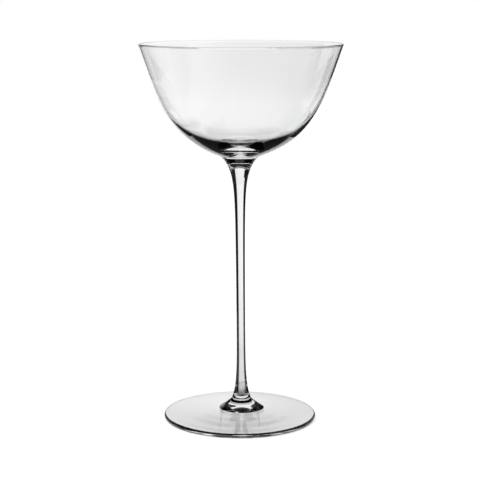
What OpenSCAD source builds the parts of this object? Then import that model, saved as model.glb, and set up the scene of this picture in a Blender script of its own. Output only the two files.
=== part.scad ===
// A wide-bowled cocktail glass on a tall drawn stem, as a glassblower makes it:
// a blown bowl, a stem drawn from its own gather, and a foot spun from a third.
// Each piece is one solid, and the pieces meet face to face at the two fused seams.
// Millimetres, Z up, with the origin under the middle of the foot on the table.

/* [Overall] */
// Height from the table to the top of the rim
glass_height = 180; // [160:1:210]
// Diameter across the outside of the rim
rim_diameter = 95.8; // [84:0.2:108]
// Diameter across the foot
foot_diameter = 73.2; // [64:0.2:84]

/* [Bowl] */
// Outside depth of the bowl, from the rim down to the seam with the stem
bowl_depth = 52.5; // [46:0.1:60]
// Wall at the fire-polished lip
lip_wall = 0.8; // [0.6:0.05:1.4]
// Glass between the seam and the lowest point of the drinking hollow
base_glass = 3.65; // [2.6:0.05:6]
// Lean of the wall at the rim, away from upright, in degrees
lip_lean = 18.8; // [14:0.1:24]
// Rise of the underside where it leaves the seam, in degrees
base_rise = 20.4; // [14:0.1:26]
// How far the wall runs on at the lip's lean before the outside turns in
outer_wall_pull = 29.5; // [27:0.5:34]
// How far the underside runs on at its own rise before it turns up
outer_base_pull = 25.4; // [23:0.2:29]
// How far the wall runs on at the lip's lean before the inside turns in
inner_wall_pull = 29.5; // [24:0.5:31]
// How far the floor of the hollow stays level before it turns up
inner_floor_pull = 32.4; // [24:0.2:33]

/* [Stem] */
// Diameter of the seam where the stem's gather is stuck to the bowl
cup_diameter = 20; // [14:0.5:24]
// Diameter that the slowly thickening stem comes to under the bowl
upper_neck_diameter = 5.1; // [3.6:0.1:6.4]
// Diameter of the stem at its thinnest, in its lower half
lower_neck_diameter = 4.1; // [3.2:0.02:6]
// Height over which the flare under the bowl falls away
cup_draw = 5.85; // [4:0.05:8]
// Height over which the flare above the foot falls away
foot_draw = 6.5; // [4.5:0.1:8.5]
// Height of the cone of glass that spreads out on the foot
skirt_height = 4.6; // [3.2:0.1:6]

/* [Foot] */
// Diameter of the seam where the stem stands on the foot
seat_diameter = 21.6; // [16:0.1:28]
// Height of that seam above the table
seat_height = 4.6; // [4.2:0.1:6]
// Thickness of the rounded edge of the foot
edge_thickness = 2.1; // [1.4:0.05:3]
// Radius of the rounding on the edge of the foot
edge_round = 0.8; // [0.4:0.05:1]
// Width of the flat ring that the foot stands on
rest_ring_width = 3; // [1.5:0.1:6]
// Height of the hollow under the middle of the foot
underside_rise = 3; // [1.2:0.1:3.4]
// Fall of the foot's top where it leaves the seam, in degrees
top_fall = 9; // [4:0.5:14]

/* [Hidden] */

rim_radius = rim_diameter / 2;
foot_radius = foot_diameter / 2;
cup_radius = cup_diameter / 2;
seat_radius = seat_diameter / 2;
upper_neck_radius = upper_neck_diameter / 2;
lower_neck_radius = lower_neck_diameter / 2;

cup_height = glass_height - bowl_depth;
stem_length = cup_height - seat_height;
hollow_floor = cup_height + base_glass;
lip_round = lip_wall / 2;

// How much faster than a plain exponential the flare under the bowl falls near its seam
cup_fall_share = 0.9;

// How much of the spread on the foot is the cone, and how straight the cone's side is
skirt_share = 0.4;
skirt_fall_share = 1.1;

// Share of its length from which the stem thickens upwards, slowly at first
taper_start_share = 0.22;

// How far the foot's top keeps each of its two slopes, as a share of its width
top_pull_share = 0.4;

// How far the hollow under the foot stays level in its middle and at its edge
hollow_middle_share = 0.15;
hollow_edge_share = 0.55;

curve_steps = 40;
stem_steps = 96;
round_steps = 8;
turn_steps = 180;

// Point on a cubic curve that leaves p0 towards p1 and arrives at p3 from p2
function curve_point(p0, p1, p2, p3, t) =
    pow(1 - t, 3) * p0
    + 3 * t * pow(1 - t, 2) * p1
    + 3 * t * t * (1 - t) * p2
    + pow(t, 3) * p3;

// The whole cubic curve, as points from p0 to p3
function curve(p0, p1, p2, p3) =
    [for (i = [0 : curve_steps]) curve_point(p0, p1, p2, p3, i / curve_steps)];

// Points round an arc, from one angle to another
function arc(centre, radius, from_angle, to_angle) =
    [for (i = [0 : round_steps])
        let (a = from_angle + (to_angle - from_angle) * i / round_steps)
        centre + radius * [cos(a), sin(a)]];

// How much of its whole thickening the stem has at a share of its length
function thickened(share) =
    pow(max(0, (share - taper_start_share) / (1 - taper_start_share)), 2);

// How much is left of the flare under the bowl at a distance below its seam
function cup_left(distance) = exp(-pow(distance / cup_draw, cup_fall_share));

// How much is left of the spread on the foot at a distance above its seam
function spread_left(distance) =
    (1 - skirt_share) * exp(-distance / foot_draw)
    + skirt_share * pow(max(0, 1 - distance / skirt_height), skirt_fall_share);

// Radius of the drawn stem at a share of its length above the foot's seam
function stem_radius(share) =
    let (
        thickening = upper_neck_radius - lower_neck_radius,
        neck = lower_neck_radius + thickening * thickened(share),
        spread = (seat_radius - neck) * spread_left(share * stem_length),
        flare = (cup_radius - neck) * cup_left((1 - share) * stem_length)
    )
    neck + spread + flare;

// Shares of the stem's length, close together near both seams
function stem_share(step) = (1 - cos(180 * step / stem_steps)) / 2;

wall_down = [-sin(lip_lean), -cos(lip_lean)];
wall_out = [cos(lip_lean), -sin(lip_lean)];
lip_centre = [rim_radius - lip_round, glass_height - lip_round];
seam_edge = [cup_radius, cup_height];

outer_lip = lip_centre + lip_round * wall_out;
inner_lip = lip_centre - lip_round * wall_out;

// Outside of the bowl, from the seam up to the lip
outer_wall = curve(
    seam_edge,
    seam_edge + outer_base_pull * [cos(base_rise), sin(base_rise)],
    outer_lip + outer_wall_pull * wall_down,
    outer_lip
);

// Inside of the bowl, from the lip down to the middle of the floor
inner_wall = curve(
    inner_lip,
    inner_lip + inner_wall_pull * wall_down,
    [inner_floor_pull, hollow_floor],
    [0, hollow_floor]
);

// Blown bowl: a thin wall that thickens into the base, flat where the stem is stuck on
module bowl() {
    color("lightsteelblue")
        rotate_extrude($fn = turn_steps)
            polygon(concat(
                [[0, cup_height]],
                outer_wall,
                arc(lip_centre, lip_round, -lip_lean, 180 - lip_lean),
                inner_wall
            ));
}

// Drawn stem: a cup that takes the bowl, a long slender shaft and a flare on the foot
module stem() {
    color("lightslategray")
        rotate_extrude($fn = turn_steps)
            polygon(concat(
                [[0, seat_height], [seat_radius, seat_height]],
                [for (i = [1 : stem_steps - 1])
                    let (share = stem_share(i))
                    [stem_radius(share), seat_height + share * stem_length]],
                [[cup_radius, cup_height], [0, cup_height]]
            ));
}

// Spun foot: thin at its rounded edge, thicker under the stem, slightly hollow below
module foot() {
    edge_radius = foot_radius - edge_round;
    top_width = edge_radius - seat_radius;
    ring_inside = edge_radius - rest_ring_width;
    top_start = [seat_radius, seat_height];
    top_end = [edge_radius, edge_thickness];
    color("lightblue")
        rotate_extrude($fn = turn_steps)
            polygon(concat(
                curve(
                    [0, underside_rise],
                    [hollow_middle_share * ring_inside, underside_rise],
                    [hollow_edge_share * ring_inside, 0],
                    [ring_inside, 0]
                ),
                arc([edge_radius, edge_round], edge_round, -90, 0),
                arc([edge_radius, edge_thickness - edge_round], edge_round, 0, 90),
                curve(
                    top_end,
                    top_end - top_pull_share * top_width * [1, 0],
                    top_start + top_pull_share * top_width * [1, -tan(top_fall)],
                    top_start
                ),
                [[0, seat_height]]
            ));
}

bowl();
stem();
foot();
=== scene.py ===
"""A clear, mouth-blown cocktail glass on a tall drawn stem, dressed round its solids.

The three pieces that a glassblower works, the bowl, the stem and the foot, are turned as
smooth closed solids of revolution, a little wavy as hot-worked glass is, and dressed in
clear glass. The studio is a pale table in soft light, with dark cards beside and in front
of the glass, which draw its edges as in any photograph of clear glass on white.
"""

import logging
import math
from collections.abc import Callable, Iterator
from contextlib import contextmanager
from dataclasses import dataclass, field, replace
from enum import Enum
from functools import reduce
from operator import mul

import bpy
from mathutils import Euler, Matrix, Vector

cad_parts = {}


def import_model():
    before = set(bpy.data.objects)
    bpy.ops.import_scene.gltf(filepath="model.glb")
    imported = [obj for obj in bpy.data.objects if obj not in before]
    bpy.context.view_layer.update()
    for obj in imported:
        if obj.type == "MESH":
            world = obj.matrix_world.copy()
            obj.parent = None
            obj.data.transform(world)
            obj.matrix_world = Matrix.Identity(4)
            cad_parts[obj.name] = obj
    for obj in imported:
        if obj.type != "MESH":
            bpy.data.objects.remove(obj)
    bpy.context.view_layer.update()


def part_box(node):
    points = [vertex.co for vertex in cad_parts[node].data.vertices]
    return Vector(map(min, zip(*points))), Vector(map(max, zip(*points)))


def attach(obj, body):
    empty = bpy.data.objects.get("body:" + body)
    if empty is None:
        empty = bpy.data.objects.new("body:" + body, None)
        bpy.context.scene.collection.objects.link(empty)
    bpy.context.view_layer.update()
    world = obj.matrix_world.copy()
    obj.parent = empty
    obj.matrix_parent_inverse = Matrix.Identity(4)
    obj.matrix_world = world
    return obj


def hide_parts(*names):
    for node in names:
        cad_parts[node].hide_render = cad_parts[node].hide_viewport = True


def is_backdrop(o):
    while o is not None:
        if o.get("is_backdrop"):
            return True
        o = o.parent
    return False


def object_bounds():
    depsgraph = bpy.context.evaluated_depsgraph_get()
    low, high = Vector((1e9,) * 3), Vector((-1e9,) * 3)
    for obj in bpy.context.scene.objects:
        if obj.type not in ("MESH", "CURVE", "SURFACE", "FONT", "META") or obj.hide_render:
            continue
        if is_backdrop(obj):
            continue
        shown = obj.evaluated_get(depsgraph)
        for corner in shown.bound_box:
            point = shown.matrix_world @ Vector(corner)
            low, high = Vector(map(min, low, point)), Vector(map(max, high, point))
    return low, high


Point = tuple[float, float]
Span = tuple[float, float]
Place = tuple[float, float, float]
Colour = tuple[float, float, float]
Tree = bpy.types.NodeTree
Node = bpy.types.Node
Socket = bpy.types.NodeSocket
Piece = bpy.types.Object
Material = bpy.types.Material

MM = 0.001
FRAME_PIXELS = 480
LOG = logging.getLogger("cocktail_glass")

# A face is a fused seam if its normal is upright to LEVEL and its height is the seam's
LEVEL = 0.9999
SAME_HEIGHT = 0.01 * MM

# The rig's cloths leave a round hole free for the foot and reach back to the backdrop
CLOTH_HOLE = 38 * MM
CLOTH_REACH = 1200 * MM

# What the rig's felts cover at the most, and the ends of their steps
DARK = 0.95
UP, DOWN, TO_DARK, FROM_DARK = (0.0, 1.0), (1.0, 0.0), (0.0, DARK), (DARK, 0.0)


def mm(low: float, high: float | None = None) -> Span:
    """A span in millimetres, without a width where it has one end only."""
    return (low * MM, (low if high is None else high) * MM)


def curve(p0: Point, p1: Point, p2: Point, p3: Point, steps: int) -> list[Point]:
    """Points along a cubic curve that leaves p0 towards p1 and arrives at p3 from p2.

    Args:
        p0: Start of the curve, as radius and height.
        p1: Handle of the start.
        p2: Handle of the end.
        p3: End of the curve.
        steps: Number of straight steps.

    Returns:
        The points, from p0 to p3.
    """
    points = []
    for i in range(steps + 1):
        t = i / steps
        s = 1 - t
        shares = (s * s * s, 3 * t * s * s, 3 * t * t * s, t * t * t)
        corners = zip(shares, (p0, p1, p2, p3))
        parts = [(share * p[0], share * p[1]) for share, p in corners]
        points.append((sum(part[0] for part in parts), sum(part[1] for part in parts)))
    return points


def arc(centre: Point, radius: float, start: float, end: float, steps: int) -> list[Point]:
    """Points round an arc, from one angle to another in degrees."""
    angles = [math.radians(start + (end - start) * i / steps) for i in range(steps + 1)]
    return [
        (centre[0] + radius * math.cos(a), centre[1] + radius * math.sin(a))
        for a in angles
    ]


def along(start: Point, direction: Point, distance: float) -> Point:
    """The point at a distance from start in a direction."""
    return (start[0] + distance * direction[0], start[1] + distance * direction[1])


def smooth_step(value: float, low: float, high: float) -> float:
    """A smooth rise from 0 to 1 as value passes from low to high."""
    t = min(1.0, max(0.0, (value - low) / (high - low)))
    return t * t * (3 - 2 * t)


def without_doubles(points: list[Point], least: float = 1e-5) -> list[Point]:
    """The points with each one left out that lies closer than least to the one before."""
    kept = [points[0]]
    for point in points[1:]:
        if math.dist(point, kept[-1]) > least:
            kept.append(point)
    return kept


@contextmanager
def editing() -> Iterator[None]:
    """Edit mode of the active piece, with all of it selected."""
    bpy.ops.object.mode_set(mode="EDIT")
    bpy.ops.mesh.select_all(action="SELECT")
    yield
    bpy.ops.object.mode_set(mode="OBJECT")


def draw(name: str, points: list[Place]) -> Piece:
    """Draws a line of edges by extruding one point after another.

    Args:
        name: Name of the piece.
        points: The places that the line goes through.

    Returns:
        The line, active and selected, with its place in its mesh.
    """
    bpy.ops.object.select_all(action="DESELECT")
    bpy.ops.mesh.primitive_plane_add(size=MM, location=(0, 0, 0))
    piece = bpy.context.object
    piece.name = name
    piece.data.name = name
    with editing():
        bpy.ops.mesh.merge(type="CENTER")
        bpy.ops.transform.translate(value=points[0])
        for before, point in zip(points, points[1:]):
            move = tuple(b - a for a, b in zip(before, point))
            bpy.ops.mesh.extrude_region_move(TRANSFORM_OT_translate={"value": move})
    return piece


def level(points: list[Point], height: float, way: int = 1) -> list[Place]:
    """Corners of a level cloth at a height, mirrored to the left where way is -1."""
    return [(way * x, y, height) for x, y in points]


def oblong(half: float, front: float, back: float) -> list[Point]:
    """Corners of an oblong with the stem in the middle of its width."""
    return [(-half, front), (half, front), (half, back), (-half, back)]


def upright(start: Point, end: Point, low: float, top: float) -> list[Place]:
    """Corners of an upright card from one point to another, between two heights."""
    return [(*start, low), (*end, low), (*end, top), (*start, top)]


def joining(operation: str, turned: bool = False) -> Callable[..., "Value"]:
    """A method that joins a value to another by a Math node, in their order or turned."""

    def join(self: "Value", other: "Value | float") -> "Value":
        """What comes out of the node."""
        return self.reckon(operation, *((other, self) if turned else (self, other)))

    return join


@dataclass(frozen=True)
class Value:
    """A number in a node tree, whose sums, products and comparisons make Math nodes.

    Attributes:
        socket: The output socket that holds it.
    """

    socket: Socket

    __add__ = joining("ADD")
    __mul__ = joining("MULTIPLY")
    __sub__ = joining("SUBTRACT")
    __rsub__ = joining("SUBTRACT", turned=True)
    __truediv__ = joining("DIVIDE")
    __rtruediv__ = joining("DIVIDE", turned=True)
    __lt__ = joining("LESS_THAN")
    __gt__ = joining("GREATER_THAN")
    most = joining("MAXIMUM")
    least = joining("MINIMUM")

    def reckon(self, operation: str, *values: "Value | float") -> "Value":
        """Makes a Math node in the tree of this value.

        Args:
            operation: The node's operation.
            values: What goes into it.

        Returns:
            What comes out.
        """
        tree = self.socket.id_data
        node = tree.nodes.new("ShaderNodeMath")
        node.operation = operation
        for socket, value in zip(node.inputs, values):
            if isinstance(value, Value):
                value.to(socket)
            else:
                socket.default_value = value
        return Value(node.outputs[0])

    def to(self, socket: Socket) -> None:
        """Links the value to an input socket."""
        self.socket.id_data.links.new(self.socket, socket)

    def step(self, span: Span, ends: Span) -> "Value":
        """Turns the value into a smooth step.

        Args:
            span: The values at which the step starts and ends.
            ends: What comes out before and after it.

        Returns:
            What comes out.
        """
        node = self.socket.id_data.nodes.new("ShaderNodeMapRange")
        node.interpolation_type = "SMOOTHSTEP"
        names = ("From Min", "From Max", "To Min", "To Max")
        for name, number in zip(names, (*span, *ends)):
            node.inputs[name].default_value = number
        self.to(node.inputs["Value"])
        return Value(node.outputs["Result"])


def ray(tree: Tree, name: str) -> Value:
    """What a tree knows of the ray that it is asked by."""
    return Value(tree.nodes.new("ShaderNodeLightPath").outputs[name])


def seen_rays(tree: Tree) -> Value:
    """1 for rays that show a thing, straight, mirrored or through glass, else 0."""
    straight, mirrored = ray(tree, "Is Camera Ray"), ray(tree, "Is Glossy Ray")
    return straight.most(mirrored).most(ray(tree, "Is Transmission Ray"))


@dataclass(frozen=True)
class Spot:
    """Where a ray meets a surface, in the surface's own frame, and what ray it is.

    Attributes:
        tree: The nodes of the surface's material.
        place: The place.
        axes: Its three parts.
    """

    tree: Tree
    place: Socket
    axes: bpy.types.NodeOutputs

    # What the measures below are squeezed, shifted, sloped and cut by
    SQUEEZE = 0.7
    SHIFT = 110 * MM
    SLOPE = 0.2
    LOW = 125 * MM

    @classmethod
    def on(cls, tree: Tree) -> "Spot":
        """Makes the nodes that know the spot.

        Args:
            tree: The nodes of the surface's material.

        Returns:
            The spot.
        """
        place = tree.nodes.new("ShaderNodeTexCoord").outputs["Object"]
        split = tree.nodes.new("ShaderNodeSeparateXYZ")
        tree.links.new(place, split.inputs["Vector"])
        return cls(tree, place, split.outputs)

    def across(self) -> Value:
        """How far to the right it is."""
        return Value(self.axes["X"])

    def back(self) -> Value:
        """How far back it is."""
        return Value(self.axes["Y"])

    def height(self) -> Value:
        """How high it is."""
        return Value(self.axes["Z"])

    def aside(self) -> Value:
        """How far to either side it is."""
        return self.across().reckon("ABSOLUTE", self.across())

    def distance(self, across: float = 1.0) -> Value:
        """How far from the origin it is.

        Args:
            across: How much its distance across counts.

        Returns:
            The distance.
        """
        squeezed = self.tree.nodes.new("ShaderNodeVectorMath")
        squeezed.operation = "MULTIPLY"
        squeezed.inputs[1].default_value = (across, 1.0, 1.0)
        measure = self.tree.nodes.new("ShaderNodeVectorMath")
        measure.operation = "LENGTH"
        self.tree.links.new(self.place, squeezed.inputs[0])
        self.tree.links.new(squeezed.outputs["Vector"], measure.inputs[0])
        return Value(measure.outputs["Value"])

    def squeezed(self) -> Value:
        """The same, where its distance across counts less."""
        return self.distance(self.SQUEEZE)

    def shifted(self) -> Value:
        """How far back it is, counted from farther back on the right."""
        return self.back() - (self.across() > 0.0) * self.SHIFT

    def sloped(self) -> Value:
        """How high it is above a plane that rises backwards."""
        return self.height() - self.back() * self.SLOPE

    def ray(self) -> Value:
        """Length of the ray."""
        return ray(self.tree, "Ray Length")

    def ray_start(self) -> Value:
        """Height at which a ray starts that comes up to the backdrop from the stem."""
        squared = self.ray() * self.ray() - self.across() * self.across()
        level = (squared - CLOTH_REACH**2).most(0.0)
        return self.height() - level.reckon("SQRT", level)

    def passes(self) -> Value:
        """Surfaces of glass that the ray has passed."""
        return ray(self.tree, "Transmission Depth")

    def mirrors(self) -> Value:
        """Surfaces that have mirrored it."""
        return ray(self.tree, "Glossy Depth")

    def is_mirrored(self) -> Value:
        """1 if the last one did, else 0."""
        return ray(self.tree, "Is Glossy Ray")

    def steps(self) -> Value:
        """Surfaces that it has passed, and low down those that have mirrored it too."""
        return self.passes() + self.mirrors() * (self.height() < self.LOW)


@dataclass(frozen=True)
class Fade:
    """A smooth step from spot to spot, or a sharp one where its span has no width.

    Attributes:
        measure: What it goes by.
        span: Where it starts and ends.
        ends: What it is before and after that.
    """

    measure: Callable[[Spot], Value]
    span: Span
    ends: Span

    def on(self, spot: Spot) -> Value:
        """What it is at a spot."""
        value, (low, high), (before, after) = self.measure(spot), self.span, self.ends
        if low < high:
            return value.step(self.span, self.ends)
        return (value > low) * (after - before) + before


def new_material(name: str) -> tuple[Material, Tree, Node]:
    """A new material, its nodes and its shader."""
    material = bpy.data.materials.new(name)
    material.use_nodes = True
    tree = material.node_tree
    return material, tree, tree.nodes["Principled BSDF"]


def new_matt_material(name: str, colour: Colour) -> tuple[Material, Tree, Node]:
    """The same, matt and of one colour."""
    material, tree, shader = new_material(name)
    shader.inputs["Base Color"].default_value = (*colour, 1.0)
    shader.inputs["Roughness"].default_value = 1.0
    shader.inputs["Specular IOR Level"].default_value = 0.0
    return material, tree, shader


def texture(tree: Tree, kind: str, place: Socket, settings: dict[str, float]) -> Node:
    """Makes a texture node.

    Args:
        tree: The nodes that it joins.
        kind: Its type.
        place: Where it is looked up.
        settings: What its inputs are set to, by name.

    Returns:
        The node.
    """
    node = tree.nodes.new(kind)
    for name, value in settings.items():
        node.inputs[name].default_value = value
    tree.links.new(place, node.inputs["Vector"])
    return node


class Wear(Enum):
    """How the hand and the tool have marked a surface of the glass."""

    BLOWN = "blown"
    DRAWN = "drawn"
    SPUN = "spun"


@dataclass(frozen=True)
class GlassFinish:
    """Clear glass, with the faint marks of the hand that shaped it.

    Attributes:
        name: Name of the material.
        wear: Which marks the surface carries.
        tint: Colour of light that has passed through.
        deep_tint: The same in the slightly greyer cords of the melt.
        ior: Index of refraction.
        wave_depth: Height of the marks, in metres.
        wave_scale: Marks per metre.
        cord_share: How strongly the cords of the melt show, from 0 to 1.
        smudge: Roughness that faint handling marks give it.
        lip_top: Height of the lip, near whose top the glass is made partly see-through,
            painted light that lightens the lip's dark edge.
        lip_depth: How far below that the painted lightening starts and reaches its full
            share.
        lip_front: Where the painted lightening passes from its full share at the front to
            none, from the axis backwards.
        lip_share: How much of the lip shows where the painted lightening is full.
    """

    name: str
    wear: Wear
    tint: Colour = (0.988, 0.99, 0.988)
    deep_tint: Colour = (0.972, 0.974, 0.972)
    ior: float = 1.52
    wave_depth: float = 0.01 * MM
    wave_scale: float = 35.0
    cord_share: float = 0.5
    smudge: float = 0.006
    lip_top: float | None = None
    lip_depth: Span = mm(1, 0.5)
    lip_front: Span = mm(-28, -14)
    lip_share: float = 0.45

    GROUP = "hand_worked_surface"
    GROUP_INPUTS = {
        "Place": "Vector",
        "Scale": "Float",
        "Stretch": "Vector",
        "Rings": "Float",
        "Cords": "Float",
        "Smudge": "Float",
    }
    GROUP_OUTPUTS = ("Cords", "Roughness", "Height")
    STRETCH = {
        Wear.BLOWN: (1.0, 1.0, 0.8),
        Wear.DRAWN: (6.0, 6.0, 0.35),
        Wear.SPUN: (1.0, 1.0, 3.0),
    }
    WAVES = {"Detail": 1.5, "Distortion": 0.4}
    RINGS = {"Scale": 45.0, "Distortion": 1.2, "Detail": 1.0, "Detail Scale": 0.6}
    MELT = {"Scale": 18.0, "Detail": 3.0, "Distortion": 1.5}
    TOUCH = {"Scale": 60.0, "Detail": 4.0}

    def material(self) -> Material:
        """Builds the material.

        Returns:
            A new material with a Principled shader fed by the shared group.
        """
        material, tree, shader = new_material(self.name)
        shader.inputs["Metallic"].default_value = 0.0
        shader.inputs["Transmission Weight"].default_value = 1.0
        shader.inputs["IOR"].default_value = self.ior

        marks = tree.nodes.new("ShaderNodeGroup")
        marks.node_tree = self.group()
        for name, value in (
            ("Scale", self.wave_scale),
            ("Stretch", self.STRETCH[self.wear]),
            ("Rings", float(self.wear is Wear.SPUN)),
            ("Cords", self.cord_share),
            ("Smudge", self.smudge),
        ):
            marks.inputs[name].default_value = value
        coordinates = tree.nodes.new("ShaderNodeTexCoord")
        tint = tree.nodes.new("ShaderNodeMix")
        tint.data_type = "RGBA"
        tint.inputs["A"].default_value = (*self.tint, 1.0)
        tint.inputs["B"].default_value = (*self.deep_tint, 1.0)
        bump = tree.nodes.new("ShaderNodeBump")
        bump.inputs["Strength"].default_value = 1.0
        bump.inputs["Distance"].default_value = self.wave_depth
        for output, entry in (
            (coordinates.outputs["Object"], marks.inputs["Place"]),
            (marks.outputs["Cords"], tint.inputs["Factor"]),
            (tint.outputs["Result"], shader.inputs["Base Color"]),
            (marks.outputs["Roughness"], shader.inputs["Roughness"]),
            (marks.outputs["Height"], bump.inputs["Height"]),
            (bump.outputs["Normal"], shader.inputs["Normal"]),
        ):
            tree.links.new(output, entry)
        # painted light: the lip is made partly see-through near its top, most on the front,
        # which lightens its dark edge
        if self.lip_top:
            spot = Spot.on(tree)
            low, high = (self.lip_top - depth for depth in self.lip_depth)
            painted_lip_light = spot.height().step((low, high), UP)
            painted_lip_light *= spot.back().step(self.lip_front, (1 - self.lip_share, 0.0))
            (1.0 - painted_lip_light).to(shader.inputs["Alpha"])
        return material

    @classmethod
    def group(cls) -> Tree:
        """The shared shader group, built once.

        Returns:
            A group that turns a place into a cord mask, a roughness and a height.
        """
        if cls.GROUP in bpy.data.node_groups:
            return bpy.data.node_groups[cls.GROUP]
        group = bpy.data.node_groups.new(cls.GROUP, "ShaderNodeTree")
        sockets = group.interface
        for name, kind in cls.GROUP_INPUTS.items():
            sockets.new_socket(name, in_out="INPUT", socket_type=f"NodeSocket{kind}")
        for name in cls.GROUP_OUTPUTS:
            sockets.new_socket(name, in_out="OUTPUT", socket_type="NodeSocketFloat")
        entry = group.nodes.new("NodeGroupInput").outputs
        leave = group.nodes.new("NodeGroupOutput").inputs
        stretched = group.nodes.new("ShaderNodeVectorMath")
        stretched.operation = "MULTIPLY"
        group.links.new(entry["Place"], stretched.inputs[0])
        group.links.new(entry["Stretch"], stretched.inputs[1])
        drawn_out = stretched.outputs["Vector"]

        waves = texture(group, "ShaderNodeTexNoise", drawn_out, cls.WAVES)
        group.links.new(entry["Scale"], waves.inputs["Scale"])
        rings = texture(group, "ShaderNodeTexWave", entry["Place"], cls.RINGS)
        rings.wave_type = "RINGS"
        rings.rings_direction = "Z"
        melt = texture(group, "ShaderNodeTexNoise", drawn_out, cls.MELT)
        touch = texture(group, "ShaderNodeTexNoise", entry["Place"], cls.TOUCH)

        wave, ring, cord, mark = (
            Value(node.outputs["Fac"]) for node in (waves, rings, melt, touch)
        )
        (wave + ring * Value(entry["Rings"])).to(leave["Height"])
        (cord * Value(entry["Cords"])).to(leave["Cords"])
        (mark * Value(entry["Smudge"])).to(leave["Roughness"])
        return group


@dataclass(frozen=True)
class FusedSeam:
    """The face inside the glass where two gathers are fused, which shows nothing."""

    name: str = "fused_seam"

    def material(self) -> Material:
        """Builds the material once.

        Returns:
            The shared material, clear all through.
        """
        if self.name in bpy.data.materials:
            return bpy.data.materials[self.name]
        material, _, shader = new_material(self.name)
        shader.inputs["Alpha"].default_value = 0.0
        return material


@dataclass(frozen=True)
class HandLean:
    """How the hand-drawn stem leans, a little off the line from the foot to the bowl.

    Attributes:
        low: Offset where the height is nothing.
        slope: Change of the offset for each unit of height.
        lowest, highest: Heights beyond which the offset stays the same.
        core: Radius inside which the glass has the whole offset.
        still: Radius beyond which the glass stands true.
        tilt: Rise of the rim from the left to the right, for each unit across.
        tilted: Height above the upper seam at which the bowl has all of it.
    """

    low: float = 0.86 * MM
    slope: float = -0.0113
    lowest: float = 4.6 * MM
    highest: float = 127.5 * MM
    core: float = 11.0 * MM
    still: float = 27.0 * MM
    tilt: float = 0.005
    tilted: float = 20.0 * MM

    def bend(self, piece: Piece) -> None:
        """Leans a turned piece.

        Args:
            piece: The piece, whose rim or edge stays where it is.
        """
        for vertex in piece.data.vertices:
            height = min(self.highest, max(self.lowest, vertex.co.z))
            distance = math.hypot(vertex.co.x, vertex.co.y)
            share = 1 - smooth_step(distance, self.core, self.still)
            above = vertex.co.z - self.highest
            tilt = self.tilt * smooth_step(above, 0.0, self.tilted)
            vertex.co.z += tilt * vertex.co.x
            vertex.co.x += (self.low + self.slope * height) * share - tilt * above


@dataclass
class Lathe:
    """Turns a half outline into a closed piece of glass.

    Attributes:
        quarter_steps: Steps round a quarter turn.
        sharp_angle: Edges sharper than this stay crisp, in degrees.
        weld: Points closer than this are joined, in metres.
        lean: How the hand has left the turned glass.
    """

    quarter_steps: int = 96
    sharp_angle: float = 35.0
    weld: float = 2e-6
    lean: HandLean = HandLean()

    def turn(self, name: str, outline: list[Point]) -> Piece:
        """Spins the outline through a quarter turn, and mirrors that to the full round.

        Args:
            name: Name of the piece.
            outline: Radius and height of each point, from the axis back to the axis.

        Returns:
            The closed, smooth piece, with its place in its mesh.
        """
        piece = draw(name, [(r, 0.0, z) for r, z in without_doubles(outline)])
        with editing():
            quarter, upwards = math.tau / 4, (0, 0, 1)
            bpy.ops.mesh.spin(
                steps=self.quarter_steps, angle=quarter, center=(0, 0, 0), axis=upwards
            )
            self.close()
        mirror = piece.modifiers.new("other_quarters", "MIRROR")
        mirror.use_axis = (True, True, False)
        mirror.merge_threshold = self.weld
        bpy.ops.object.modifier_apply(modifier=mirror.name)
        with editing():
            self.close()
            bpy.ops.mesh.select_all(action="SELECT")
            bpy.ops.mesh.normals_make_consistent(inside=False)
        self.lean.bend(piece)
        bpy.ops.object.shade_smooth_by_angle(angle=math.radians(self.sharp_angle))
        return piece

    def close(self) -> None:
        """Joins the points that lie on each other, so the poles and seams are closed."""
        bpy.ops.mesh.select_all(action="SELECT")
        bpy.ops.mesh.remove_doubles(threshold=self.weld)


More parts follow.
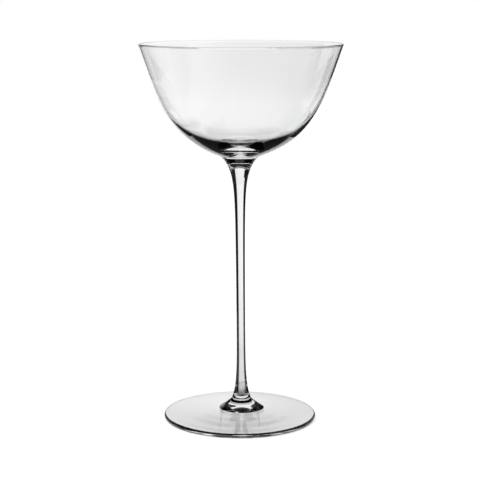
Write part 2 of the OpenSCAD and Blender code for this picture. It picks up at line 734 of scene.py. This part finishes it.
@dataclass
class Bowl:
    """The blown bowl: a thin flared wall on a thick base.

    Attributes:
        rim_radius, rim_height: Outside radius of the rim and its height.
        seam_height, seam_radius: Height and radius of the seam with the stem.
        lip_wall, base_glass: Glass at the lip, and between the seam and the hollow.
        lip_lean, base_rise: Lean at the rim and rise at the seam, in degrees.
        outer_wall_pull, outer_base_pull: Handles of the outside at the lip and the seam.
        inner_wall_pull, inner_floor_pull: Handles of the inside at the lip and the floor.
        steps, lip_steps: Steps along each side of the wall and round the lip.
        finish: Its glass.
    """

    rim_radius: float
    rim_height: float
    seam_height: float
    seam_radius: float = 10.0 * MM
    lip_wall: float = 0.8 * MM
    base_glass: float = 3.65 * MM
    lip_lean: float = 18.8
    base_rise: float = 20.4
    outer_wall_pull: float = 29.5 * MM
    outer_base_pull: float = 25.4 * MM
    inner_wall_pull: float = 29.5 * MM
    inner_floor_pull: float = 32.4 * MM
    steps: int = 90
    lip_steps: int = 12
    finish: GlassFinish = GlassFinish("blown_glass", Wear.BLOWN, wave_depth=0.006 * MM)

    def outline(self) -> list[Point]:
        """Half outline, from the middle of the seam round the lip to the floor."""
        lean, rise = math.radians(self.lip_lean), math.radians(self.base_rise)
        wall_down = (-math.sin(lean), -math.cos(lean))
        wall_out = (math.cos(lean), -math.sin(lean))
        lip_round = self.lip_wall / 2
        lip_centre = (self.rim_radius - lip_round, self.rim_height - lip_round)
        outer_lip = along(lip_centre, wall_out, lip_round)
        inner_lip = along(lip_centre, wall_out, -lip_round)
        seam_edge = (self.seam_radius, self.seam_height)
        floor = self.seam_height + self.base_glass
        outside = curve(
            seam_edge,
            along(seam_edge, (math.cos(rise), math.sin(rise)), self.outer_base_pull),
            along(outer_lip, wall_down, self.outer_wall_pull),
            outer_lip,
            self.steps,
        )
        inside = curve(
            inner_lip,
            along(inner_lip, wall_down, self.inner_wall_pull),
            (self.inner_floor_pull, floor),
            (0.0, floor),
            self.steps,
        )
        first, last = -self.lip_lean, 180 - self.lip_lean
        lip = arc(lip_centre, lip_round, first, last, self.lip_steps)
        return [(0.0, self.seam_height), *outside, *lip, *inside]

    def build(self, lathe: Lathe) -> Piece:
        """Turns the bowl and dresses it."""
        piece = lathe.turn("blown_bowl", self.outline())
        finish = replace(self.finish, lip_top=self.rim_height)
        dress(piece, finish, [self.seam_height])
        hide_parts("bowl")
        return piece


@dataclass
class Stem:
    """The drawn stem: a cup under the bowl, a slender shaft and a flare on the foot.

    Attributes:
        cup_height, cup_radius: Height and radius of the seam with the bowl.
        seat_height, seat_radius: Height and radius of the seam with the foot.
        upper_neck: Radius that the thickening shaft would reach at the upper seam.
        lower_neck: Radius of the lower shaft.
        cup_draw: Height over which the upper flare falls away.
        cup_fall: How sharply the upper flare falls near its seam.
        foot_draw: Height over which the lower flare falls away.
        skirt_height: Height of the cone of glass that spreads out on the foot.
        skirt_share: How much of the spread on the foot is that cone.
        skirt_fall: How straight the side of the cone is.
        taper_start: Share of the length where the shaft starts to thicken upwards.
        steps: Steps along the stem.
        finish: Its glass.
    """

    cup_height: float
    seat_height: float
    seat_radius: float
    cup_radius: float = 10.0 * MM
    upper_neck: float = 2.55 * MM
    lower_neck: float = 2.05 * MM
    cup_draw: float = 5.85 * MM
    cup_fall: float = 0.9
    foot_draw: float = 6.5 * MM
    skirt_height: float = 4.6 * MM
    skirt_share: float = 0.4
    skirt_fall: float = 1.1
    taper_start: float = 0.22
    steps: int = 200
    finish: GlassFinish = GlassFinish("drawn_glass", Wear.DRAWN, wave_scale=60.0)

    @property
    def length(self) -> float:
        """Length between the two seams."""
        return self.cup_height - self.seat_height

    def radius(self, share: float) -> float:
        """Radius at a share of the length above the foot's seam."""
        taper = max(0.0, (share - self.taper_start) / (1 - self.taper_start)) ** 2
        neck = self.lower_neck + (self.upper_neck - self.lower_neck) * taper
        above = math.exp(-(((1 - share) * self.length / self.cup_draw) ** self.cup_fall))
        tail = math.exp(-share * self.length / self.foot_draw)
        cone = max(0.0, 1 - share * self.length / self.skirt_height) ** self.skirt_fall
        below = tail + (cone - tail) * self.skirt_share
        return neck + (self.seat_radius - neck) * below + (self.cup_radius - neck) * above

    def outline(self) -> list[Point]:
        """Half outline, from the middle of the lower seam up to that of the upper."""
        turns = [math.pi * i / self.steps for i in range(1, self.steps)]
        shares = [(1 - math.cos(turn)) / 2 for turn in turns]
        side = [(self.radius(s), self.seat_height + s * self.length) for s in shares]
        return [
            (0.0, self.seat_height),
            (self.seat_radius, self.seat_height),
            *side,
            (self.cup_radius, self.cup_height),
            (0.0, self.cup_height),
        ]

    def build(self, lathe: Lathe) -> Piece:
        """Turns the stem and dresses it."""
        piece = lathe.turn("drawn_stem", self.outline())
        dress(piece, self.finish, [self.seat_height, self.cup_height])
        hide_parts("stem")
        return piece


@dataclass
class Foot:
    """The spun foot: thin at its rounded edge and slightly hollow below.

    Attributes:
        radius: Radius of the foot.
        seat_height, seat_radius: Height and radius of the seam with the stem.
        edge_thickness, edge_round: Thickness of the edge and radius of its rounding.
        rest_ring_width: Width of the flat ring that it stands on.
        underside_rise: Height of the hollow under its middle.
        hollow_middle: Share of the hollow's radius over which its middle stays level.
        hollow_edge: Share of it from which its edge runs out level.
        top_fall: Fall of the top at the seam, in degrees.
        top_pull_share: How far the top keeps each of its slopes.
        steps, edge_steps: Steps along each face and round each quarter of the edge.
        finish: Its glass.
    """

    radius: float
    seat_height: float
    seat_radius: float
    edge_thickness: float = 2.1 * MM
    edge_round: float = 0.8 * MM
    rest_ring_width: float = 3.0 * MM
    underside_rise: float = 3.0 * MM
    hollow_middle: float = 0.15
    hollow_edge: float = 0.55
    top_fall: float = 9.0
    top_pull_share: float = 0.4
    steps: int = 60
    edge_steps: int = 10
    finish: GlassFinish = GlassFinish("spun_glass", Wear.SPUN)

    def outline(self) -> list[Point]:
        """Half outline, from the middle of the hollow round the edge to the seam."""
        edge_radius = self.radius - self.edge_round
        ring_inside = edge_radius - self.rest_ring_width
        pull = self.top_pull_share * (edge_radius - self.seat_radius)
        fall = math.tan(math.radians(self.top_fall))
        underside = curve(
            (0.0, self.underside_rise),
            (ring_inside * self.hollow_middle, self.underside_rise),
            (ring_inside * self.hollow_edge, 0.0),
            (ring_inside, 0.0),
            self.steps,
        )
        top = curve(
            (edge_radius, self.edge_thickness),
            (edge_radius - pull, self.edge_thickness),
            (self.seat_radius + pull, self.seat_height - pull * fall),
            (self.seat_radius, self.seat_height),
            self.steps,
        )
        low = (edge_radius, self.edge_round)
        high = (edge_radius, self.edge_thickness - self.edge_round)
        return [
            *underside,
            *arc(low, self.edge_round, -90, 0, self.edge_steps),
            *arc(high, self.edge_round, 0, 90, self.edge_steps),
            *top,
            (0.0, self.seat_height),
        ]

    def build(self, lathe: Lathe) -> Piece:
        """Turns the foot and dresses it."""
        piece = lathe.turn("spun_foot", self.outline())
        dress(piece, self.finish, [self.seat_height])
        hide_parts("foot")
        return piece


def dress(piece: Piece, finish: GlassFinish, seams: list[float]) -> None:
    """Gives a piece its glass, and its fused faces the seam.

    Args:
        piece: The turned piece.
        finish: The glass of its surface.
        seams: Heights of its flat fused faces.
    """
    piece.data.materials.clear()
    piece.data.materials.append(finish.material())
    piece.data.materials.append(FusedSeam().material())
    for face in piece.data.polygons:
        near_seam = any(abs(face.center.z - height) < SAME_HEIGHT for height in seams)
        face.material_index = int(near_seam and abs(face.normal.z) > LEVEL)
    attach(piece, "root")
    LOG.info("%s: %d faces", piece.name, len(piece.data.polygons))


@dataclass
class PhotoCamera:
    """The camera, where the photograph was taken from.

    Attributes:
        distance: Level distance from the stem.
        height: Height above the table.
        pitch: Downward tilt, in degrees.
        focal_pixels: Focal length, in pixels of the picture.
        axis_low, row_low: Where the axis meets the table in the picture, in pixels.
        axis_high, row_high: Where it meets the plane of the rim.
        sensor: Width of the sensor, in millimetres.
        clip: Nearest and farthest distance that it sees.
    """

    distance: float = 676.6 * MM
    height: float = 204.7 * MM
    pitch: float = 9.87
    focal_pixels: float = 1439.0
    axis_low: float = 239.8
    axis_high: float = 241.35
    row_low: float = 413.4
    row_high: float = 43.8
    sensor: float = 36.0
    clip: Span = (10 * MM, 100.0)

    def build(self) -> Piece:
        """Makes the camera and gives it to the scene.

        Returns:
            The camera object.
        """
        centre = FRAME_PIXELS / 2
        roll = math.atan2(self.axis_high - self.axis_low, self.row_low - self.row_high)
        middle = self.axis_low + (self.row_low - centre) * math.tan(roll)
        yaw = math.atan2(middle - centre, self.focal_pixels)
        lens = bpy.data.cameras.new("photo_camera")
        lens.sensor_width = self.sensor
        lens.lens = self.focal_pixels * self.sensor / FRAME_PIXELS
        lens.clip_start, lens.clip_end = self.clip
        camera = bpy.data.objects.new("photo_camera", lens)
        bpy.context.scene.collection.objects.link(camera)
        camera.location = (0.0, -self.distance, self.height)
        turn = Euler((math.radians(90 - self.pitch), 0.0, yaw)).to_quaternion()
        camera.rotation_mode = "QUATERNION"
        camera.rotation_quaternion = turn @ Euler((0.0, 0.0, roll)).to_quaternion()
        bpy.context.scene.camera = camera
        return camera


class Felt(Enum):
    """What a card or cloth of the rig is made of."""

    BLACK = "black"
    FRONT = "front"
    NEAR = "near"
    UNDER = "under"
    MIDDLE = "middle"
    SIDE = "side"
    LEFT = "left"
    RIGHT = "right"
    ROOF = "roof"
    # a dark sheet of painted shade on the table, seen only through the glass
    VEIL = "veil"
    BACKDROP = "backdrop"
    STEM = "stem"


# Counts that no ray has: between none and one, and between two and three
ANY = (0.5, 0.5)
THIRD = (2.5, 2.5)

# Short rays that start low, as the stem mirrors them, and rays from the cone on the foot
STEM_RAYS = [Fade(Spot.ray, mm(129), FROM_DARK), Fade(Spot.height, mm(72), DOWN)]
CONE_RAYS = [Fade(Spot.ray_start, mm(50), DOWN), Fade(Spot.height, mm(140, 160), UP)]

# What a felt covers: each row is a product of steps, and the greatest row counts
COVERS = {
    Felt.FRONT: [
        # in front, beyond the bright table
        [Fade(Spot.distance, mm(120, 270), TO_DARK), Fade(Spot.back, mm(-120, 120), DOWN)],
    ],
    Felt.NEAR: [
        # on the left, for rays from under the bowl
        [
            Fade(Spot.ray, mm(160, 168), FROM_DARK),
            Fade(Spot.ray, mm(130), UP),
            Fade(Spot.across, mm(-50), DOWN),
        ],
        # round the foot, which mirrors it, and paler in the middle
        [
            Fade(Spot.squeezed, mm(50, 76), FROM_DARK),
            Fade(Spot.ray, mm(3.4), UP),
            Fade(Spot.aside, mm(3, 6), (0.5, 1.0)),
            Fade(Spot.back, mm(0, 15), DOWN),
        ],
        # behind the foot
        [
            Fade(Spot.squeezed, mm(160, 220), FROM_DARK),
            Fade(Spot.back, mm(38, 45.6), UP),
            Fade(Spot.aside, mm(110, 145), DOWN),
        ],
    ],
    # under the foot, where it is seen through more than its top
    Felt.UNDER: [[Fade(Spot.passes, THIRD, UP)]],
    Felt.MIDDLE: [
        [Fade(Spot.passes, THIRD, UP), Fade(Spot.back, mm(14, 26), (0.9, 0.3))],
    ],
    Felt.SIDE: [
        # for the stem
        [Fade(Spot.steps, THIRD, DOWN)],
        [Fade(Spot.mirrors, ANY, FROM_DARK)],
        # for the bowl
        [
            Fade(Spot.shifted, mm(100, 200), FROM_DARK),
            Fade(Spot.height, mm(150), UP),
            Fade(Spot.height, mm(222, 240), DOWN),
        ],
        [Fade(Spot.height, mm(285, 300), TO_DARK)],
        # for the throat under the bowl, on the cards beside the stem
        [Fade(Spot.ray, mm(85), TO_DARK), Fade(Spot.aside, mm(51), DOWN)],
    ],
    Felt.LEFT: [
        # mirrored at its foot
        [Fade(Spot.sloped, mm(22, 40), FROM_DARK), Fade(Spot.is_mirrored, ANY, UP)],
        # for the stem
        STEM_RAYS,
        # at its rear
        [
            Fade(Spot.back, mm(30, 95), (0.0, 0.6)),
            Fade(Spot.height, mm(70, 90), UP),
            Fade(Spot.height, mm(115, 140), DOWN),
        ],
        # upwards
        [Fade(Spot.height, mm(113, 145), (0.1, 0.5))],
    ],
    Felt.RIGHT: [
        # upwards
        [
            Fade(Spot.back, mm(0, 80), (0.85, 0.5)),
            Fade(Spot.height, mm(88, 120), (0.15, 1.0)),
        ],
        # for the stem
        STEM_RAYS,
        # at its rear
        [Fade(Spot.back, mm(110, 180), TO_DARK)],
    ],
    # thinner to the right
    Felt.ROOF: [[Fade(Spot.across, mm(0, 700), (DARK, 0.1))]],
    Felt.BACKDROP: [
        # beside the light in the cone on the foot
        [Fade(Spot.across, mm(-290, -250), FROM_DARK), *CONE_RAYS],
        [Fade(Spot.across, mm(100, 160), TO_DARK), *CONE_RAYS],
    ],
    # for the stem only
    Felt.STEM: [[Fade(Spot.ray, mm(22), DOWN)]],
}


@dataclass(frozen=True)
class FeltFinish:
    """How the felts look.

    Attributes:
        black: Colour of the felts.
        veil: Colour of the veil, a dark sheet on the table seen only through the glass,
            which paints the table's shade round it.
        painted_shade_veil_depth: Distance at which the painted shade would be black.
        painted_shade_veil_most: The most that it covers, with what is taken off it.
        painted_shade_veil_ease: What is taken off it everywhere.
        painted_side_shade_start: Distance back up to which the painted side shade on the
            veil runs straight back.
        painted_side_shade_turn: Share of the distance back over which it darkens to the
            right.
        painted_side_shade: How much the painted side shade covers on the left and on the
            right.
        upwards: Painted shade that darkens the backdrop upwards, which has the same painted
            side shade as the veil.
    """

    black: Colour = (0.02, 0.019, 0.018)
    # painted shade: the veil's colour and how far round the glass it darkens the table
    veil: Colour = (0.0, 0.03, 0.1)
    painted_shade_veil_depth: float = 45 * MM
    painted_shade_veil_most: float = 0.36
    painted_shade_veil_ease: float = 0.02
    # painted shade: how the veil and the backdrop darken to the right and upwards
    painted_side_shade_start: float = 450 * MM
    painted_side_shade_turn: Span = (-0.09, 0.09)
    painted_side_shade: Span = (0.0, 0.035)
    upwards: Fade = Fade(Spot.height, mm(128, 136), (0.0, 0.06))

    def material(self, felt: Felt) -> Material:
        """Makes one of the rig's materials, which give next to no light back.

        Args:
            felt: Which one.

        Returns:
            The new material.
        """
        colour = self.veil if felt is Felt.VEIL else self.black
        material, tree, shader = new_matt_material(f"felt_{felt.value}", colour)
        if felt is Felt.BLACK:
            return material
        spot = Spot.on(tree)
        covers = [
            reduce(mul, [fade.on(spot) for fade in fades]) for fades in COVERS.get(felt, [])
        ]
        # painted shade on the table round the glass, seen through it
        if felt is Felt.VEIL:
            covers.append(self.painted_shade_veil_cover(spot))
        if felt is Felt.BACKDROP:
            # painted shade on the backdrop: darker to the right and upwards
            covers.append(self.painted_side_shade_cover(spot) + self.upwards.on(spot))
        reduce(Value.most, covers).to(shader.inputs["Alpha"])
        return material

    def painted_side_shade_cover(self, spot: Spot) -> Value:
        """Painted side shade: how the painted shade veil and the backdrop darken to the
        right.
        """
        aside = spot.across() / spot.back().most(self.painted_side_shade_start)
        return aside.step(self.painted_side_shade_turn, self.painted_side_shade)

    def painted_shade_veil_cover(self, spot: Spot) -> Value:
        """Painted shade on the table round the glass, thickest round the foot."""
        distance = spot.distance()
        near = (self.painted_shade_veil_depth / distance).least(self.painted_shade_veil_most) - self.painted_shade_veil_ease
        return (near.most(0.0) + self.painted_side_shade_cover(spot)) * (distance > CLOTH_HOLE)


class Light(Enum):
    """Which rays meet a card or cloth."""

    ALL = "all"
    MIRRORED = "mirrored"
    REFRACTED = "refracted"


@dataclass(frozen=True)
class Card:
    """A card or cloth.

    Attributes:
        points: Its corners.
        felt: What it is made of.
        light: Which rays meet it.
    """

    points: list[Place]
    felt: Felt = Felt.BLACK
    light: Light = Light.ALL


@dataclass(frozen=True)
class Stand:
    """Where an upright card stands that runs backwards beside the stem.

    Attributes:
        x: Its distance to the right.
        start, end: Where it starts and ends, from the stem backwards.
        low, high: Heights of its edges.
    """

    x: float
    start: float
    end: float
    low: float
    high: float

    def corners(self, way: int = 1) -> list[Place]:
        """Its corners, mirrored to the left where way is -1."""
        x = way * self.x
        return upright((x, self.start), (x, self.end), self.low, self.high)


@dataclass(frozen=True)
class DarkRig:
    """Dark cards and cloths round the glass, which it shows at its edges.

    The rig turns about the glass with the camera, as a photographer turns the glass and
    leaves the cards, and only reflected and refracted rays see it, so the table stays
    evenly lit. In the rig's own frame the camera is in front, at negative Y.

    Attributes:
        window: Angles from the stem to the ends of the bright backdrop, in degrees.
        sleeve_side: Distance of the cards that stand close beside the stem.
        sleeve_black, sleeve_top: Height up to which all rays see them black, and their top.
        card_side: Distance of the side cards from the stem.
        card_start: Where all of these start, from the stem backwards.
        beside: The cards that only the stem mirrors.
        gate_side: Half widths of the bright opening high up behind the glass.
        gate_back, gate_low: How far back it is, and the height above which it is so wide.
        left_haze, right_haze: The grey cards beside the side cards.
        right_far: The black card behind the right one.
        left_wall, right_wall: The walls of the dark room.
        front, back, wide: How far it reaches in front, behind and to each side.
        roof_height: Its height.
        disc: Radius and height of the black disc under the middle of the roof.
        front_end: Where the cloth in front ends, and the near one starts before the stem.
        wing_start: Where the side cloths start, from the stem backwards.
        spot: Radius of the dark spot under the stem, and how far back it lies.
        under_gap: How far the cloth under the foot lies below the glass.
        lift: Height of the cloths above the table, and between them.
        round_steps, small_steps: Steps round the wide outlines and the small ones.
        finish: How the felts look.
    """

    window: Span = (27.0, 20.0)
    sleeve_side: float = 50 * MM
    sleeve_black: float = 80 * MM
    sleeve_top: float = 125 * MM
    card_side: float = 120 * MM
    card_start: float = -15 * MM
    beside: Stand = Stand(10 * MM, -15 * MM, 30 * MM, 8 * MM, 118 * MM)
    gate_side: Span = mm(360, 450)
    gate_back: float = 950 * MM
    gate_low: float = 250 * MM
    left_haze: Stand = Stand(-121 * MM, -15 * MM, 240 * MM, 0.0, 200 * MM)
    right_haze: Stand = Stand(121 * MM, -30 * MM, 240 * MM, 0.0, 200 * MM)
    right_far: Stand = Stand(121 * MM, 240 * MM, 480 * MM, 0.0, 200 * MM)
    left_wall: Stand = Stand(-700 * MM, -950 * MM, 450 * MM, 0.0, 600 * MM)
    right_wall: Stand = Stand(700 * MM, -950 * MM, 300 * MM, 0.0, 600 * MM)
    front: float = 950 * MM
    back: float = 900 * MM
    wide: float = 700 * MM
    roof_height: float = 600 * MM
    disc: Point = mm(330, 480)
    front_end: float = 120 * MM
    wing_start: float = -20 * MM
    spot: Point = mm(5.5, 5.5)
    under_gap: float = 0.01 * MM
    lift: float = 0.2 * MM
    round_steps: int = 24
    small_steps: int = 12
    finish: FeltFinish = FeltFinish()

    def build(self, camera: Piece) -> None:
        """Hangs the cards on a turntable that follows the camera.

        Args:
            camera: The camera that the rig turns with.
        """
        table = bpy.data.objects.new("turntable", None)
        bpy.context.scene.collection.objects.link(table)
        follow = table.constraints.new("LOCKED_TRACK")
        follow.target = camera
        follow.lock_axis = "LOCK_Z"
        follow.track_axis = "TRACK_NEGATIVE_Y"
        felts = {felt: self.finish.material(felt) for felt in Felt}
        for name, card in (self.cloths() | self.side_cards() | self.cards()).items():
            piece = draw(name, card.points)
            with editing():
                bpy.ops.mesh.edge_face_add()
            piece.data.materials.append(felts[card.felt])
            piece.parent = table
            piece.visible_camera = False
            piece.visible_diffuse = False
            piece.visible_shadow = False
            piece.visible_glossy = card.light is not Light.REFRACTED
            piece.visible_transmission = card.light is not Light.MIRRORED
            piece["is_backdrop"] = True

    def cloths(self) -> dict[str, Card]:
        """What lies on the table, in layers."""
        veil, front, near, wings = (layer * self.lift for layer in (1, 2, 3, 4))
        under, lowest = -self.under_gap, -2 * self.under_gap
        left, right = self.window
        middle = self.sector(90 - right, 90 + left)
        wide, end = self.wide, self.front_end
        radius, back = self.spot
        spot = arc((0.0, back), radius, 0, 360, self.small_steps)[:-1]
        through = Light.REFRACTED
        rows = (
            ("under_left", self.sector(0, 90 - left), under, -1, Felt.UNDER, through),
            ("under_right", self.sector(0, 90 - right), under, 1, Felt.UNDER, through),
            ("under_middle", middle, under, 1, Felt.MIDDLE, through),
            # painted shade: a dark veil darkening the table round the glass, seen only
            # through it
            ("veil", oblong(wide, -self.front, CLOTH_REACH), veil, 1, Felt.VEIL, through),
            ("front", oblong(wide, -self.front, end), front, 1, Felt.FRONT, Light.ALL),
            ("near", oblong(wide, -end, wide), near, 1, Felt.NEAR, Light.MIRRORED),
            ("stem", spot, lowest, 1, Felt.BLACK, through),
            ("left", self.wing(left), wings, -1, Felt.BLACK, Light.ALL),
            ("right", self.wing(right), wings, 1, Felt.BLACK, Light.ALL),
        )
        cards = {}
        for name, outline, height, way, felt, light in rows:
            name = name if name == "veil" else f"{name}_cloth"
            cards[name] = Card(level(outline, height, way), felt, light)
        return cards

    def side_cards(self) -> dict[str, Card]:
        """The pairs of cards that stand left and right of the glass."""
        start, sleeve, mid = self.card_start, self.sleeve_side, self.sleeve_black
        through = Light.REFRACTED
        cards = {}
        for name, way, angle, half in (
            ("left", -1, self.window[0], self.gate_side[0]),
            ("right", 1, self.window[1], self.gate_side[1]),
        ):
            slant = math.tan(math.radians(angle))
            for kind, x, low, high, felt in (
                ("sleeve", sleeve, mid, self.sleeve_top, Felt.SIDE),
                ("low_sleeve", sleeve, 0.0, mid, Felt.BLACK),
                ("side", self.card_side, 0.0, self.roof_height, Felt.SIDE),
            ):
                stand = Stand(x, start, x / slant, low, high)
                cards[f"{name}_{kind}_card"] = Card(stand.corners(way), felt, through)
            points = self.beside.corners(way)
            cards[f"{name}_stem_card"] = Card(points, Felt.STEM, Light.MIRRORED)
            ends = (way * half, self.gate_back), (way * self.wide, self.gate_back)
            points = upright(*ends, self.gate_low, self.roof_height)
            cards[f"{name}_gate_card"] = Card(points, Felt.BLACK, through)
        return cards

    def cards(self) -> dict[str, Card]:
        """The other cards, the walls and the roof."""
        near, wide, roof = -self.front, self.wide, self.roof_height
        radius, height = self.disc
        disc = arc((0.0, 0.0), radius, 0, 360, self.round_steps)[:-1]
        backdrop = upright((-wide, CLOTH_REACH), (wide, CLOTH_REACH), 0.0, roof)
        front = upright((-wide, near), (wide, near), 0.0, roof)
        through = Light.REFRACTED
        return {
            "backdrop_card": Card(backdrop, Felt.BACKDROP, through),
            "left_haze_card": Card(self.left_haze.corners(), Felt.LEFT),
            "right_haze_card": Card(self.right_haze.corners(), Felt.RIGHT),
            "right_far_card": Card(self.right_far.corners(), light=Light.MIRRORED),
            "left_wall_card": Card(self.left_wall.corners()),
            "right_wall_card": Card(self.right_wall.corners(), light=through),
            "front_card": Card(front),
            "roof_card": Card(level(oblong(wide, near, self.back), roof), Felt.ROOF),
            "roof_disc_card": Card(level(disc, height), light=through),
        }

    def wing(self, angle: float) -> list[Point]:
        """Outline of a side cloth, which lies round the foot and along the bright window.

        Args:
            angle: Angle from the stem to the end of the bright backdrop, in degrees.

        Returns:
            The corners on the right, from the front of the foot backwards and out.
        """
        side, steps = self.sleeve_side, self.round_steps
        start = math.degrees(math.asin(self.wing_start / CLOTH_HOLE))
        return [
            *arc((0.0, 0.0), CLOTH_HOLE, start, 90 - angle, steps),
            (side, side / math.tan(math.radians(angle))),
            (side, self.wing_start),
        ]

    def sector(self, start: float, end: float) -> list[Point]:
        """Outline of a part of the cloth under the foot, between two angles in degrees."""
        return [(0.0, 0.0), *arc((0.0, 0.0), CLOTH_HOLE, start, end, self.small_steps)]


@dataclass
class Studio:
    """The pale table and the soft light.

    Attributes:
        table_size: Side of the table.
        table_gap: Air between the glass and the table, which it touches at a few points.
        table_white: Colour of the table.
        table_glow: What its own brightness adds where it is seen, up to plain white.
        painted_glow: What a painted pool of light, glowing on the table under the foot and
            seen only through the glass, adds on the left.
        painted_glow_back: Where that painted light starts, from the stem backwards.
        painted_glow_left: Where it fades, from the left to the right.
        painted_glow_right: Share of it that is left on the right.
        painted_glow_reach: Radius round the stem within which it lies.
        room_light: Strength of the room's even light.
        lamp_power, lamp_size: Power of the soft lamp, in watts, and its side.
        lamp_place, lamp_aim: Where it hangs and where it points to.
    """

    table_size: float = 8.0
    table_gap: float = 0.03 * MM
    table_white: float = 0.8
    table_glow: float = 0.56
    # painted light: a glow on the table under the foot's back, seen only through the glass
    painted_glow: float = 0.14
    painted_glow_back: Span = mm(-10, 20)
    painted_glow_left: Span = mm(-15, 25)
    painted_glow_right: float = 0.3
    painted_glow_reach: float = 38 * MM
    room_light: float = 0.55
    lamp_power: float = 3.0
    lamp_size: float = 0.6
    lamp_place: Place = (-0.5, -0.25, 0.9)
    lamp_aim: Place = (0.0, 0.0, 0.05)

    def build(self) -> None:
        """Lays the table, lights the room and hangs the lamp."""
        self.table()
        self.room()
        self.lamp()

    def table(self) -> None:
        """A wide pale table that keeps the object's shadow."""
        bpy.ops.object.select_all(action="DESELECT")
        bpy.ops.mesh.primitive_plane_add(size=self.table_size, location=(0, 0, 0))
        with editing():
            bpy.ops.transform.translate(value=(0, 0, -self.table_gap))
        table = bpy.context.object
        table.name = "table"
        white = (self.table_white, self.table_white, self.table_white)
        material, tree, shader = new_matt_material("pale_table", white)
        shader.inputs["Emission Color"].default_value = (1.0, 1.0, 1.0, 1.0)
        # plain white where seen, plus a painted pool of light under the foot
        glow = seen_rays(tree) * self.table_glow + self.painted_glow_patch(Spot.on(tree))
        glow.to(shader.inputs["Emission Strength"])
        table.data.materials.append(material)
        table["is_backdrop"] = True

    def painted_glow_patch(self, spot: Spot) -> Value:
        """A painted pool of light: a glow on the table under the foot's back, seen only
        through the glass.
        """
        light = spot.back().step(self.painted_glow_back, (0.0, self.painted_glow))
        light *= spot.across().step(self.painted_glow_left, (1.0, self.painted_glow_right))
        light *= spot.distance() < self.painted_glow_reach
        return light * ray(spot.tree, "Is Transmission Ray")

    def room(self) -> None:
        """An even white room, plain white where it is seen."""
        world = bpy.data.worlds.new("white_room")
        bpy.context.scene.world = world
        world.use_nodes = True
        light = world.node_tree.nodes["Background"]
        light.inputs["Color"].default_value = (1.0, 1.0, 1.0, 1.0)
        strength = seen_rays(world.node_tree).most(self.room_light)
        strength.to(light.inputs["Strength"])

    def lamp(self) -> None:
        """One large soft lamp, high on the left."""
        light = bpy.data.lights.new("soft_lamp", "AREA")
        light.shape = "SQUARE"
        light.size = self.lamp_size
        light.energy = self.lamp_power
        lamp = bpy.data.objects.new("soft_lamp", light)
        bpy.context.scene.collection.objects.link(lamp)
        lamp.location = self.lamp_place
        aim = Vector(self.lamp_aim) - Vector(self.lamp_place)
        lamp.rotation_mode = "QUATERNION"
        lamp.rotation_quaternion = aim.to_track_quat("-Z", "Y")
        lamp.visible_glossy = False
        lamp.visible_transmission = False


@dataclass
class CocktailGlass:
    """The whole glass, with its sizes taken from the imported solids.

    Attributes:
        bowl: The blown bowl.
        stem: The drawn stem.
        foot: The spun foot.
        lathe: What turns them.
    """

    bowl: Bowl
    stem: Stem
    foot: Foot
    lathe: Lathe = field(default_factory=Lathe)

    @classmethod
    def from_frame(cls) -> "CocktailGlass":
        """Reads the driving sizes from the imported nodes.

        Returns:
            The glass, ready to build.
        """
        bowl_high, stem_low, stem_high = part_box("bowl")[1], *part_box("stem")
        return cls(
            bowl=Bowl(
                rim_radius=bowl_high[0], rim_height=bowl_high[2], seam_height=stem_high[2]
            ),
            stem=Stem(
                cup_height=stem_high[2], seat_height=stem_low[2], seat_radius=stem_high[0]
            ),
            foot=Foot(
                radius=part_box("foot")[1][0],
                seat_height=stem_low[2],
                seat_radius=stem_high[0],
            ),
        )

    def build(self) -> None:
        """Builds the three pieces in the order that they are made."""
        self.bowl.build(self.lathe)
        self.stem.build(self.lathe)
        self.foot.build(self.lathe)


def corners() -> list[list[float]]:
    """Lowest and highest corner of the shown object, as plain lists."""
    return [list(corner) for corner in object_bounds()]


def main() -> None:
    """Builds the glass around its frame, then the studio."""
    logging.basicConfig(level=logging.INFO, format="%(name)s: %(message)s")
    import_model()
    camera = PhotoCamera().build()
    DarkRig().build(camera)
    CocktailGlass.from_frame().build()
    Studio().build()
    bpy.context.scene.view_settings.view_transform = "Standard"


if __name__ == "__main__":
    main()
